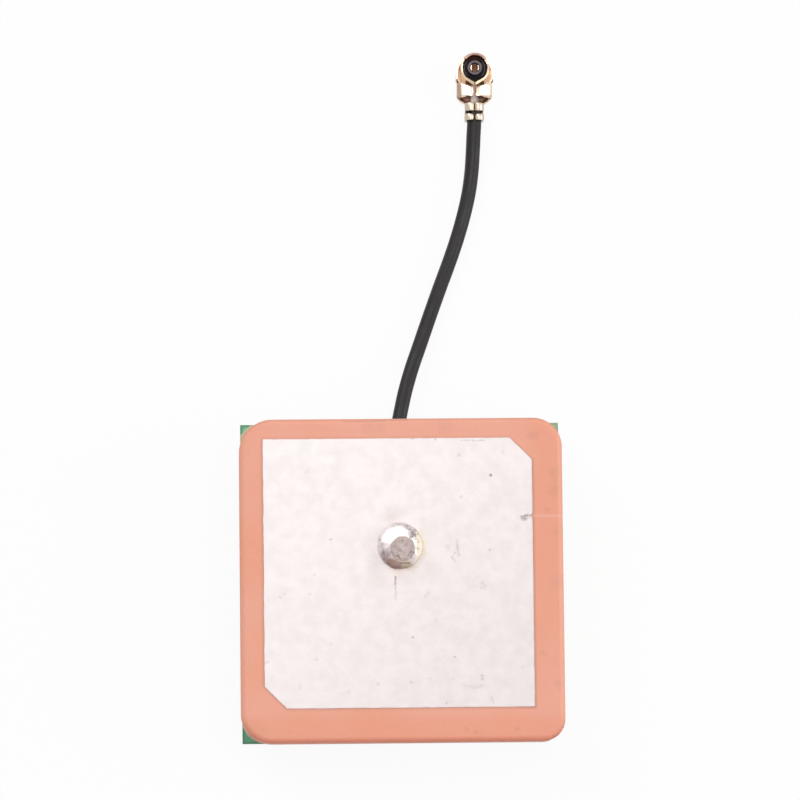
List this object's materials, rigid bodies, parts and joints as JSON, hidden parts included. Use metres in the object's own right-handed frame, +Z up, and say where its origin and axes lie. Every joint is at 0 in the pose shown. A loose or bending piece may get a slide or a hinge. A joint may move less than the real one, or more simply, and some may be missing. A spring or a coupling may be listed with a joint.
{
  "type": "ceramic patch antenna module with coaxial pigtail",
  "caption": "Square ceramic patch antenna for satellite positioning, soldered over a shielded amplifier board, with a short thin coaxial lead that ends in a flat gold push-on plug.",
  "frame": {"origin": "On the surface that the shield can rests on, under the middle of the square ceramic block.", "axes": "+Z runs up out of the antenna's patch. +Y is the side that the coaxial lead leaves towards, square to the sides of the block. +X completes a right-handed frame."},
  "size_m": [0.025, 0.0545, 0.0083],
  "materials": {
    "pink_ceramic": "matt, fired",
    "silver_film": "matt fired silver film",
    "solder": "bright, flowed",
    "adhesive": "soft, matt",
    "board": "green solder mask over glass-filled resin",
    "tinned_steel": "tinned, satin",
    "package": "moulded, matt",
    "capacitor": "matt",
    "jacket": "smooth extruded fluoropolymer",
    "dielectric": "waxy",
    "gold_plating": "polished gold plating over copper alloy",
    "insulator": "moulded, fine grain"
  },
  "bodies": {
    "root": {"ceramic_block": "pink_ceramic", "patch_electrode": "silver_film", "ground_electrode": "silver_film", "feed_pin": "solder", "feed_solder": "solder", "tail_solder": "solder", "adhesive_pad": "adhesive", "circuit_board": "board", "shield_can": "tinned_steel", "can_solder_left": "solder", "can_solder_right": "solder", "can_solder_front": "solder", "can_solder_back": "solder", "first_amplifier": "package", "second_amplifier": "package", "band_filter": "tinned_steel", "input_capacitor": "capacitor", "coupling_capacitor": "capacitor", "output_capacitor": "capacitor", "bypass_capacitor": "capacitor", "supply_capacitor": "capacitor", "matching_inductor": "package", "bias_inductor": "package", "bias_resistor": "package", "gain_resistor": "package", "supply_resistor": "package", "coax_jacket": "jacket", "braid_at_board": "tinned_steel", "dielectric_at_board": "dielectric", "wire_at_board": "tinned_steel", "braid_solder": "solder", "wire_solder": "solder", "plug_shell": "gold_plating", "plug_contact": "gold_plating", "plug_insulator": "insulator", "braid_at_plug": "tinned_steel", "dielectric_at_plug": "dielectric", "wire_at_plug": "tinned_steel"}
  },
  "joints": []
}
